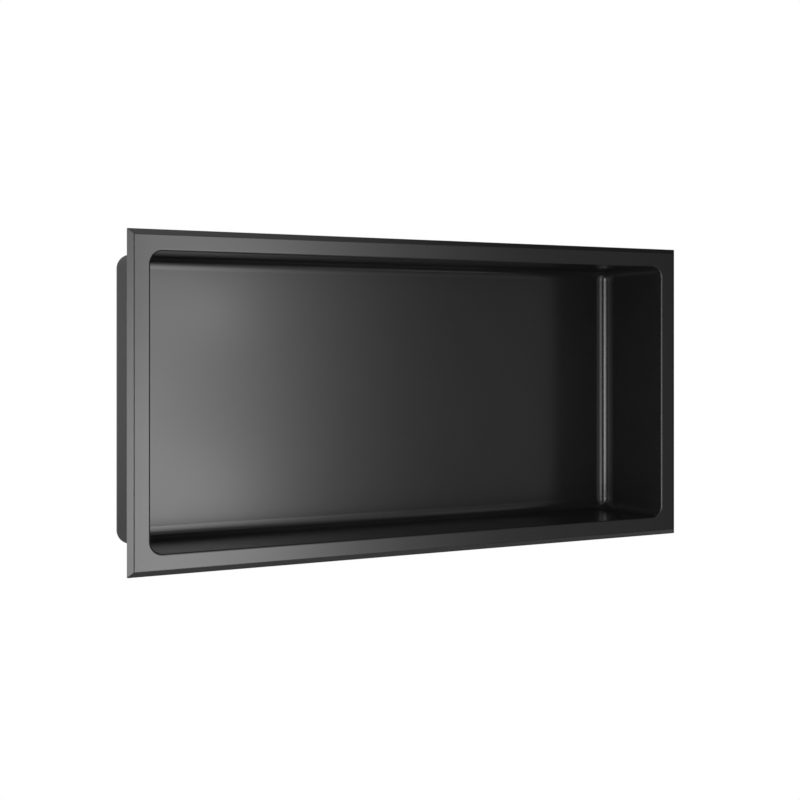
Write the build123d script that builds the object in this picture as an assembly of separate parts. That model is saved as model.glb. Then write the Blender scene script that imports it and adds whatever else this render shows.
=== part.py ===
from build123d import *

import math
import os

# Shower niche insert: a steel sheet folded and welded into an open box, with a flange round its mouth.
# X runs along the wall, Y into the wall and Z up, in millimetres.
# The origin is the middle of the mouth, in the plane of the tiles that the edge of the flange rests on.

# Driving dimensions
OVERALL_WIDTH = 600.0  # across the flange
OVERALL_HEIGHT = 300.0  # across the flange
OVERALL_DEPTH = 100.0  # from the front of the flange to the back of the box
SHEET = 1.5  # thickness of the steel
SIDE_FLANGE_WIDTH = 20.0  # from the left and right edges of the flange to the inside of the box
LEVEL_FLANGE_WIDTH = 19.0  # from the top and bottom edges of the flange to the inside of the box
BEVEL_WIDTH = 5.0  # sloping outer edge of the flange, measured along the wall
BEVEL_DEPTH = 4.0  # sloping outer edge of the flange, measured out from the wall
FOLD_RADIUS = 11.5  # large folds of the box, on the inside of the box
BEND_RADIUS = 0.5  # tight bends of the flange, on the hidden side of the sheet
CORNER_RADIUS = 1.0  # eased outer corners of the flange

# Sizes that follow from them
mouth_width = OVERALL_WIDTH - 2 * SIDE_FLANGE_WIDTH
mouth_height = OVERALL_HEIGHT - 2 * LEVEL_FLANGE_WIDTH
front_y = -BEVEL_DEPTH
back_y = front_y + OVERALL_DEPTH
bevel_angle = math.atan2(BEVEL_DEPTH, BEVEL_WIDTH)
rim_width = SHEET / math.sin(bevel_angle)
hidden_bevel_width = BEVEL_WIDTH + SHEET * math.tan(bevel_angle / 2)

# Planes to draw on: a level and an upright section, both with Y as second direction, and the wall
LEVEL = Plane(origin=(0, 0, 0), x_dir=(1, 0, 0), z_dir=(0, 0, 1))
UPRIGHT = Plane(origin=(0, 0, 0), x_dir=(0, 0, 1), z_dir=(-1, 0, 0))
WALL = Plane(origin=(0, 0, 0), x_dir=(1, 0, 0), z_dir=(0, -1, 0))


def panel_section(span, rim_inset, front, front_inset):
    """The section of a panel that lies on the wall, with both its sides bevelled."""
    rim = span / 2 - rim_inset
    front_edge = span / 2 - front_inset
    return make_face(Polyline((-rim, 0), (rim, 0), (front_edge, front), (-front_edge, front), close=True))


def bevelled_panel(rim_inset, front, front_inset, bend_radius):
    """A panel bevelled on all four sides: two long sections cross, and their bevels meet in mitres."""
    wide = LEVEL * panel_section(OVERALL_WIDTH, rim_inset, front, front_inset)
    tall = UPRIGHT * panel_section(OVERALL_HEIGHT, rim_inset, front, front_inset)
    panel = extrude(wide, OVERALL_HEIGHT, both=True) & extrude(tall, OVERALL_WIDTH, both=True)
    return fillet(panel.faces().sort_by(Axis.Y)[0].edges(), bend_radius)


def box_form(width, height, front, back, radius):
    """A block the shape of the box, rounded along its depth and round its back."""
    block = Pos(0, (front + back) / 2, 0) * Box(width, back - front, height)
    long_edges = block.edges().filter_by(Axis.Y)
    back_edges = block.faces().sort_by(Axis.Y)[-1].edges()
    return fillet(long_edges + back_edges, radius)


def niche_body():
    """The whole sheet: flange and box joined, then hollowed from behind and from the front."""
    eased_corners = WALL * RectangleRounded(OVERALL_WIDTH, OVERALL_HEIGHT, CORNER_RADIUS)
    flange = bevelled_panel(0, front_y, BEVEL_WIDTH, BEND_RADIUS + SHEET)
    flange &= extrude(eased_corners, BEVEL_DEPTH)
    outside = box_form(
        mouth_width + 2 * SHEET, mouth_height + 2 * SHEET, front_y, back_y, FOLD_RADIUS + SHEET
    )
    behind_flange = bevelled_panel(rim_width, front_y + SHEET, hidden_bevel_width, BEND_RADIUS)
    behind_flange -= outside
    cavity = box_form(mouth_width, mouth_height, front_y - SHEET, back_y - SHEET, FOLD_RADIUS)
    body = flange + outside - behind_flange - cavity

    # The bend from the flange into the box runs round the mouth, on both sides of the sheet
    front_face = body.faces().filter_by(Axis.Y).sort_by(Axis.Y)[0]
    body = fillet(front_face.inner_wires()[0].edges(), BEND_RADIUS + SHEET)
    hidden_face = body.faces().filter_by(Axis.Y).sort_by(Axis.Y)[1]
    return fillet(hidden_face.inner_wires()[0].edges(), BEND_RADIUS)


os.makedirs("parts", exist_ok=True)
export_step(niche_body(), "parts/niche_body.step")
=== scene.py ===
"""Looks of the shower niche insert: a fine mesh of its sheet, a satin black coat and a plain studio."""

import math

import bpy
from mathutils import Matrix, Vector


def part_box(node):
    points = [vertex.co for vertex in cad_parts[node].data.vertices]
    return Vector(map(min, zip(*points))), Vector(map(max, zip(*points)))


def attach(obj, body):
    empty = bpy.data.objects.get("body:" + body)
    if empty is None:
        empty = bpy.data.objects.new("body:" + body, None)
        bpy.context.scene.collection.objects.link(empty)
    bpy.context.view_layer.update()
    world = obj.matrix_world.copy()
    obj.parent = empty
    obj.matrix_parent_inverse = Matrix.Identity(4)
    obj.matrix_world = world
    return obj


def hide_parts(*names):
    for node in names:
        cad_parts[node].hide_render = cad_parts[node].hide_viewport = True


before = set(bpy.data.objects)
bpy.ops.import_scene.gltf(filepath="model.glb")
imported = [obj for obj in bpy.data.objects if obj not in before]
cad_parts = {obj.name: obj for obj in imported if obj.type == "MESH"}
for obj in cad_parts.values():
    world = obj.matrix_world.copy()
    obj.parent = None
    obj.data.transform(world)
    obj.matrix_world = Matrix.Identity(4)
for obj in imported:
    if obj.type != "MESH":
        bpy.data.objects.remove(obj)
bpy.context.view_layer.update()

# Sizes of the sheet in metres: the outer ones come from the frame, the others repeat the part's own values
body_low, body_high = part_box("niche_body")
HALF_WIDTH = body_high.x
HALF_HEIGHT = body_high.z
FRONT = body_low.y
BACK = body_high.y
SHEET = 0.0015
SIDE_FLANGE_WIDTH = 0.020
LEVEL_FLANGE_WIDTH = 0.019
BEVEL_WIDTH = 0.005
FOLD_RADIUS = 0.0115
BEND_RADIUS = 0.0005
CORNER_RADIUS = 0.0010

# A fine rounding where the bevels meet, which is sharp in the part
MITRE_RADIUS = 0.0003

# How finely the mesh follows its curves, and how many digits of a place tell two points apart
CORNER_STEPS = 24
FOLD_STEPS = 28
BEND_STEPS = 10
PLACE_DIGITS = 7

# The camera, as solved from the photograph's straight edges, for a square picture
PICTURE_SIZE = 800
FOCAL_PIXELS = 1446.56
AIM_PIXEL = (405.71, 342.59)
CAMERA_PLACE = (-0.6988, -1.1963, 0.0518)
CAMERA_YAW = math.radians(29.35)
SENSOR = 36.0

# The coat
COAT_DARK = (0.0085, 0.0085, 0.0089, 1)
COAT_PALE = (0.0115, 0.0115, 0.0119, 1)
COAT_ROUGHNESS = (0.19, 0.23)
COAT_IOR = 1.5
COAT_PATCH_SCALE = 30
COAT_PATCH_DETAIL = 3
COAT_SKIN_SCALE = 900
COAT_SKIN_DETAIL = 2
COAT_SKIN_HEIGHT = 0.0000015

# The stage
WHITE = (1, 1, 1, 1)
FLOOR_COLOUR = (0.8, 0.8, 0.8, 1)
FLOOR_DROP = 1.2
FLOOR_RADIUS = 1.5
FLOOR_SIDES = 96
FLOOR_SHADE_RADIUS = 1.2
FLOOR_GLOW_NEAR = 0.25
ROOM_COLOUR = (0.06, 0.06, 0.06, 1)
BACKDROP_FULL = math.radians(5)
BACKDROP_EDGE = math.radians(22)

# The lamps
EVEN_SPREAD = 180
FRONT_SPREAD = 140
FRONT_WAY = (0.47, -0.88, 0)
LEFT_WAY = (-1, 0, 0)
MIDDLE = (0.5, 0.5)
NO_CORE = (0, 0)


# The sheet

def rings_of(sheet_side):
    """Rings from the rim of the flange to the edge of the flat back, on the seen or the hidden side.

    Each ring is (inset from the sides, inset from the top and bottom, depth, corner radius,
    outward share and depth share of its normal).
    """
    seen = sheet_side == "seen"
    facing = 1 if seen else -1
    bevel_angle = math.atan2(-FRONT, BEVEL_WIDTH)
    tight = BEND_RADIUS + SHEET
    bend = tight if seen else BEND_RADIUS
    fold = FOLD_RADIUS if seen else FOLD_RADIUS + SHEET
    bevel_centre = BEVEL_WIDTH + tight * math.tan(bevel_angle / 2)
    mouth_centre = SIDE_FLANGE_WIDTH - tight
    bend_depth = FRONT + tight
    fold_centre = SIDE_FLANGE_WIDTH + FOLD_RADIUS
    narrower = SIDE_FLANGE_WIDTH - LEVEL_FLANGE_WIDTH
    fold_depth = BACK - SHEET - FOLD_RADIUS
    rim = 0.0 if seen else SHEET / math.sin(bevel_angle)

    # The rim on the wall, then the bend from the bevel to the flat of the flange
    outward = facing * math.sin(bevel_angle)
    inward = -facing * math.cos(bevel_angle)
    rings = [(rim, rim, 0.0, CORNER_RADIUS, outward, inward)]
    for step in range(BEND_STEPS + 1):
        turn = bevel_angle * (1 - step / BEND_STEPS)
        inset = bevel_centre - bend * math.sin(turn)
        depth = bend_depth - bend * math.cos(turn)
        outward = facing * math.sin(turn)
        inward = -facing * math.cos(turn)
        rings.append((inset, inset, depth, MITRE_RADIUS, outward, inward))

    # The bend from the flange into the box
    for step in range(BEND_STEPS + 1):
        turn = math.pi / 2 * step / BEND_STEPS
        inset = mouth_centre + bend * math.sin(turn)
        depth = bend_depth - bend * math.cos(turn)
        outward = -facing * math.sin(turn)
        inward = -facing * math.cos(turn)
        rings.append((inset, inset - narrower, depth, fold_centre - inset, outward, inward))

    # The fold from the walls of the box to its back
    for step in range(FOLD_STEPS + 1):
        turn = math.pi / 2 * step / FOLD_STEPS
        inset = fold_centre - fold * math.cos(turn)
        depth = fold_depth + fold * math.sin(turn)
        outward = -facing * math.cos(turn)
        inward = -facing * math.sin(turn)
        rings.append((inset, inset - narrower, depth, fold_centre - inset, outward, inward))
    return rings


def ring_points(side_inset, level_inset, depth, radius, outward, inward):
    """The points of one ring and their normals, round the four corners from the right."""
    points = []
    for corner in range(4):
        across = 1 if corner in (0, 3) else -1
        upward = 1 if corner in (0, 1) else -1
        middle_x = across * (HALF_WIDTH - side_inset - radius)
        middle_z = upward * (HALF_HEIGHT - level_inset - radius)
        for step in range(CORNER_STEPS + 1):
            turn = math.pi / 2 * (corner + step / CORNER_STEPS)
            right = math.cos(turn)
            up = math.sin(turn)
            place = Vector((middle_x + radius * right, depth, middle_z + radius * up))
            normal = Vector((outward * right, inward, outward * up))
            points.append((place, normal.normalized()))
    return points


class SheetMesh:
    """Collects points and faces, with a normal for each corner of each face."""

    def __init__(self):
        self.places = []
        self.index_of = {}
        self.faces = []
        self.normals = []

    def point(self, place):
        """The index of the point at a place, which is added if it is new."""
        key = tuple(round(value, PLACE_DIGITS) for value in place)
        if key not in self.index_of:
            self.index_of[key] = len(self.places)
            self.places.append(place)
        return self.index_of[key]

    def face(self, corners):
        """Adds a face through (place, normal) corners, leaving out those that fall together."""
        indices = []
        normals = []
        for place, normal in corners:
            index = self.point(place)
            if index not in indices:
                indices.append(index)
                normals.append(normal)
        if len(indices) > 2:
            self.faces.append(indices)
            self.normals.extend(normals)

    def band(self, first, second):
        """Joins two rings of as many points with a band of faces."""
        count = len(first)
        for here in range(count):
            after = (here + 1) % count
            self.face([first[here], first[after], second[after], second[here]])

    def build(self, name):
        """The finished mesh as an object in the scene."""
        mesh = bpy.data.meshes.new(name)
        mesh.from_pydata([tuple(place) for place in self.places], [], self.faces)
        mesh.shade_smooth()
        mesh.normals_split_custom_set([tuple(normal) for normal in self.normals])
        piece = bpy.data.objects.new(name, mesh)
        bpy.context.scene.collection.objects.link(piece)
        return piece


def make_sheet():
    """The folded sheet: its seen side, its hidden side and the cut rim that joins them."""
    sheet = SheetMesh()
    seen = [ring_points(*ring) for ring in rings_of("seen")]
    hidden = [ring_points(*ring) for ring in rings_of("hidden")]
    for outer, inner in zip(seen, seen[1:]):
        sheet.band(outer, inner)
    for outer, inner in zip(hidden, hidden[1:]):
        sheet.band(inner, outer)
    sheet.face(seen[-1])
    sheet.face(list(reversed(hidden[-1])))
    to_wall = Vector((0, 1, 0))
    rim_outside = [(place, to_wall) for place, normal in seen[0]]
    rim_inside = [(place, to_wall) for place, normal in hidden[0]]
    sheet.band(rim_inside, rim_outside)
    return sheet.build("niche_sheet")


# Nodes that several materials and lamps share

def combined(nodes, links, operation, first, second):
    """Two values combined by a named operation, such as their product or the larger of the two."""
    node = nodes.new("ShaderNodeMath")
    node.operation = operation
    links.new(first, node.inputs[0])
    links.new(second, node.inputs[1])
    return node.outputs["Value"]


def faded(nodes, links, value, start, end, at_start=0.0, at_end=1.0):
    """A level that fades smoothly to another one while the given value goes from start to end."""
    node = nodes.new("ShaderNodeMapRange")
    node.interpolation_type = "SMOOTHSTEP"
    node.inputs["From Min"].default_value = start
    node.inputs["From Max"].default_value = end
    node.inputs["To Min"].default_value = at_start
    node.inputs["To Max"].default_value = at_end
    links.new(value, node.inputs["Value"])
    return node.outputs["Result"]


def mixed(nodes, links, share, first, second):
    """Two shaders mixed: the first where the share is 0, the second where it is 1."""
    node = nodes.new("ShaderNodeMixShader")
    links.new(share, node.inputs["Fac"])
    links.new(first, node.inputs[1])
    links.new(second, node.inputs[2])
    return node.outputs["Shader"]


# Materials

def new_material(name):
    """An empty material, with its nodes, its links and its output node."""
    material = bpy.data.materials.new(name)
    material.use_nodes = True
    nodes = material.node_tree.nodes
    nodes.clear()
    output = nodes.new("ShaderNodeOutputMaterial")
    return material, nodes, material.node_tree.links, output


def black_coat():
    """A satin black coat: an almost black paint with soft, even reflections and a very fine skin."""
    material, nodes, links, output = new_material("satin_black_coat")
    shader = nodes.new("ShaderNodeBsdfPrincipled")
    shader.inputs["IOR"].default_value = COAT_IOR
    place = nodes.new("ShaderNodeTexCoord")

    # Patches a few centimetres wide, a little more or less matt and a little paler or darker
    patches = coat_noise(nodes, links, place, COAT_PATCH_SCALE, COAT_PATCH_DETAIL)
    matt = nodes.new("ShaderNodeMapRange")
    matt.inputs["To Min"].default_value = COAT_ROUGHNESS[0]
    matt.inputs["To Max"].default_value = COAT_ROUGHNESS[1]
    links.new(patches, matt.inputs["Value"])
    links.new(matt.outputs["Result"], shader.inputs["Roughness"])
    tone = nodes.new("ShaderNodeMix")
    tone.data_type = "RGBA"
    tone.inputs["A"].default_value = COAT_DARK
    tone.inputs["B"].default_value = COAT_PALE
    links.new(patches, tone.inputs["Factor"])
    links.new(tone.outputs["Result"], shader.inputs["Base Color"])

    # The skin of the sprayed coat, with ripples about a millimetre apart
    ripples = coat_noise(nodes, links, place, COAT_SKIN_SCALE, COAT_SKIN_DETAIL)
    skin = nodes.new("ShaderNodeBump")
    skin.inputs["Distance"].default_value = COAT_SKIN_HEIGHT
    links.new(ripples, skin.inputs["Height"])
    links.new(skin.outputs["Normal"], shader.inputs["Normal"])
    links.new(shader.outputs["BSDF"], output.inputs["Surface"])
    return material


def coat_noise(nodes, links, place, scale, detail):
    """Noise fixed to the object, with as many swings in a metre as its scale says."""
    noise = nodes.new("ShaderNodeTexNoise")
    noise.inputs["Scale"].default_value = scale
    noise.inputs["Detail"].default_value = detail
    links.new(place.outputs["Object"], noise.inputs["Vector"])
    return noise.outputs["Fac"]


def floor_paint():
    """A pale floor that is lit and shaded close to the object, and fades to plain white away from it."""
    material, nodes, links, output = new_material("pale_floor")
    lit = nodes.new("ShaderNodeBsdfDiffuse")
    lit.inputs["Color"].default_value = FLOOR_COLOUR
    glow = nodes.new("ShaderNodeEmission")
    place = nodes.new("ShaderNodeTexCoord")
    distance = nodes.new("ShaderNodeVectorMath")
    distance.operation = "LENGTH"
    links.new(place.outputs["Object"], distance.inputs[0])
    fade = faded(
        nodes, links, distance.outputs["Value"], FLOOR_SHADE_RADIUS, FLOOR_RADIUS, at_start=FLOOR_GLOW_NEAR
    )
    share = combined(nodes, links, "MULTIPLY", seen_rays(nodes, links), fade)
    paint = mixed(nodes, links, share, lit.outputs["BSDF"], glow.outputs["Emission"])
    links.new(paint, output.inputs["Surface"])
    return material


def seen_rays(nodes, links):
    """1 for the rays that show a background: those of the camera, of reflections and through glass."""
    rays = nodes.new("ShaderNodeLightPath").outputs
    camera_or_glossy = combined(nodes, links, "MAXIMUM", rays["Is Camera Ray"], rays["Is Glossy Ray"])
    return combined(nodes, links, "MAXIMUM", camera_or_glossy, rays["Is Transmission Ray"])


# The studio

def make_floor():
    """A round pale floor under the niche; past its edge the white of the world goes on."""
    mesh = bpy.data.meshes.new("floor")
    rim = []
    for step in range(FLOOR_SIDES):
        turn = 2 * math.pi * step / FLOOR_SIDES
        rim.append((FLOOR_RADIUS * math.cos(turn), FLOOR_RADIUS * math.sin(turn), 0))
    mesh.from_pydata(rim, [], [tuple(range(FLOOR_SIDES))])
    floor = bpy.data.objects.new("floor", mesh)
    floor.location.z = body_low.z - FLOOR_DROP
    bpy.context.scene.collection.objects.link(floor)
    floor.data.materials.append(floor_paint())


def make_world():
    """A white backdrop straight behind the niche, in a dim room that the camera sees as white."""
    world = bpy.data.worlds.new("studio")
    bpy.context.scene.world = world
    world.use_nodes = True
    nodes, links = world.node_tree.nodes, world.node_tree.links
    nodes.clear()
    output = nodes.new("ShaderNodeOutputWorld")
    white = nodes.new("ShaderNodeBackground")
    white.inputs["Color"].default_value = WHITE
    room = nodes.new("ShaderNodeBackground")
    room.inputs["Color"].default_value = ROOM_COLOUR
    place = nodes.new("ShaderNodeTexCoord")
    facing = nodes.new("ShaderNodeSeparateXYZ")
    links.new(place.outputs["Generated"], facing.inputs["Vector"])
    backdrop_edge = math.cos(BACKDROP_EDGE)
    backdrop_full = math.cos(BACKDROP_FULL)
    backdrop = faded(nodes, links, facing.outputs["Y"], backdrop_edge, backdrop_full)
    rays = nodes.new("ShaderNodeLightPath").outputs
    share = combined(nodes, links, "MAXIMUM", rays["Is Camera Ray"], backdrop)
    surroundings = mixed(nodes, links, share, room.outputs["Background"], white.outputs["Background"])
    links.new(surroundings, output.inputs["Surface"])


def soft_lamp(
    name, place, way, width, height, brightness, hot_spot=MIDDLE, core=NO_CORE, spread=EVEN_SPREAD
):
    """A lamp panel that shines against its way, brightest at its hot spot and dark at its furthest edges.

    The hot spot is in shares of the width and height, from the lower left as seen from behind the lamp.
    The core is the share of the reach, sideways and up and down, that is as bright as the hot spot.
    A brightness of 1 is white. A spread under 180 degrees makes the lamp brighter straight ahead than
    to the sides.
    """
    light = bpy.data.lights.new(name, "AREA")
    light.shape = "RECTANGLE"
    light.size = width
    light.size_y = height
    light.energy = brightness * math.pi * width * height
    light.spread = math.radians(spread)
    light.use_nodes = True
    soften(light.node_tree, hot_spot, core)
    lamp = bpy.data.objects.new(name, light)
    lamp.location = place
    lamp.rotation_euler = Vector(way).to_track_quat("Z", "Y").to_euler()
    lamp.visible_camera = False
    bpy.context.scene.collection.objects.link(lamp)


def soften(tree, hot_spot, core):
    """Lets a lamp's glow fade smoothly from the core round its hot spot to its furthest edges."""
    nodes, links = tree.nodes, tree.links
    reach = [max(share, 1 - share) for share in hot_spot]
    panel = nodes.new("ShaderNodeNewGeometry")
    from_spot = nodes.new("ShaderNodeVectorMath")
    from_spot.operation = "SUBTRACT"
    from_spot.inputs[1].default_value = (*hot_spot, 0)
    links.new(panel.outputs["Parametric"], from_spot.inputs[0])
    in_reaches = nodes.new("ShaderNodeVectorMath")
    in_reaches.operation = "DIVIDE"
    in_reaches.inputs[1].default_value = (*reach, 1)
    links.new(from_spot.outputs["Vector"], in_reaches.inputs[0])
    distance = nodes.new("ShaderNodeVectorMath")
    distance.operation = "ABSOLUTE"
    links.new(in_reaches.outputs["Vector"], distance.inputs[0])
    apart = nodes.new("ShaderNodeSeparateXYZ")
    links.new(distance.outputs["Vector"], apart.inputs["Vector"])
    sideways = faded(nodes, links, apart.outputs["X"], core[0], 1, at_start=1, at_end=0)
    up_and_down = faded(nodes, links, apart.outputs["Y"], core[1], 1, at_start=1, at_end=0)
    glow = combined(nodes, links, "MULTIPLY", sideways, up_and_down)
    links.new(glow, nodes["Emission"].inputs["Strength"])


def front_lamp(name, place, width, height, brightness, hot_spot=MIDDLE, core=NO_CORE):
    """A soft lamp close in front of the niche, turned a little to the niche's left."""
    soft_lamp(name, place, FRONT_WAY, width, height, brightness, hot_spot, core, FRONT_SPREAD)


def make_lamps():
    """Soft lamps close in front and at the left, and weaker fills round the niche.

    Lamps that overlap stand a little apart: in one plane they would hide each other in reflections.
    """
    front_lamp("front", (0.135, -0.51, -0.02), 0.58, 1.3, 1.78, hot_spot=(0, 0.5), core=(0, 0.5))
    front_lamp("front_up", (0.055, -0.57, 0.28), 0.40, 0.9, 0.75, hot_spot=(0.2, 0.5), core=(0, 0.3))
    front_lamp("front_low", (0.065, -0.58, -0.52), 0.44, 1.4, 2.5, hot_spot=(0, 0.5), core=(0, 0.5))
    front_lamp("front_high_glow", (0.055, -0.535, 0.10), 0.18, 0.15, 1.5)
    front_lamp("front_deep_glow", (0.06, -0.532, -0.155), 0.20, 0.16, 1.2)
    soft_lamp("left", (-0.85, -0.42, -0.2), LEFT_WAY, 0.9, 1.6, 5.8)
    soft_lamp("left_core", (-0.86, -0.60, -0.05), LEFT_WAY, 0.5, 1.1, 4.6)
    soft_lamp("left_high", (-0.85, -0.42, 0.6), (-0.8, 0, 0.6), 0.9, 1.0, 3.0)
    soft_lamp("right_fill", (1.25, -1.6, -0.3), (0.62, -0.78, 0), 2.0, 4.0, 0.36)
    soft_lamp("overhead", (-0.05, -0.4, 1.4), (0, 0, 1), 2.0, 2.0, 1.1)
    soft_lamp("high_fill", (1.3, -1.5, 1.5), (0.3, -0.6, 0.7), 3.0, 2.4, 0.44)
    soft_lamp("rear_fill", (1.3, 1.7, -0.4), (0.6, 0.8, 0), 1.8, 1.6, 1.0)


def make_camera():
    """A level camera, shifted so that what lies straight ahead of it falls on the aim pixel."""
    data = bpy.data.cameras.new("camera")
    data.sensor_width = SENSOR
    data.lens = SENSOR * FOCAL_PIXELS / PICTURE_SIZE
    data.shift_x = (PICTURE_SIZE / 2 - AIM_PIXEL[0]) / PICTURE_SIZE
    data.shift_y = (AIM_PIXEL[1] - PICTURE_SIZE / 2) / PICTURE_SIZE
    camera = bpy.data.objects.new("camera", data)
    camera.location = CAMERA_PLACE
    camera.rotation_euler = (math.pi / 2, 0, -CAMERA_YAW)
    bpy.context.scene.collection.objects.link(camera)
    bpy.context.scene.camera = camera


niche = make_sheet()
niche.data.materials.append(black_coat())
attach(niche, "root")
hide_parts("niche_body")

make_floor()
make_world()
make_lamps()
make_camera()

bpy.context.scene.view_settings.view_transform = "Standard"
